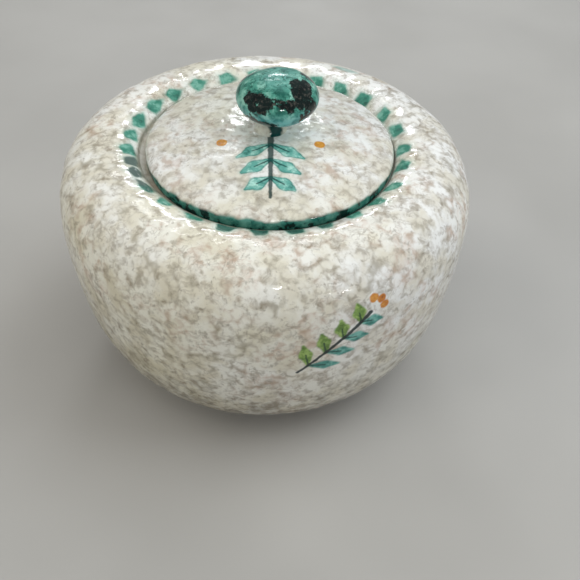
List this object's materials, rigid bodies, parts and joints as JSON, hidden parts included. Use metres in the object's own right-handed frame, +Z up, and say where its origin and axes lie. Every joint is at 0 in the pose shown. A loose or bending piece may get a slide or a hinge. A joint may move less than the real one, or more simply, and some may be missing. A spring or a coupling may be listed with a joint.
{
  "type": "lidded bowl",
  "caption": "Round-bellied glazed earthenware bowl with a rolled shoulder, an in-set domed lid that lifts off, and a flattened ball knob.",
  "frame": {"origin": "centre of the foot, on the surface the bowl stands on", "axes": "+Z up, along the axis the bowl, lid and knob were turned about; +X to the viewer's right; the painted sprig on the belly faces -Y, a little to the right"},
  "size_m": [0.125, 0.125, 0.0993],
  "materials": {
    "bowl_glaze": "gloss",
    "lid_glaze": "gloss",
    "knob_glaze": "gloss"
  },
  "bodies": {
    "bowl_body": {"bowl": "bowl_glaze"},
    "lid_body": {"lid": "lid_glaze", "lid_knob": "knob_glaze"}
  },
  "joints": [
    {"name": "lid_lift", "type": "slide", "parent": "bowl_body", "child": "lid_body", "axis": [0, 0, 1], "range_m": [0, 0.08]}
  ]
}
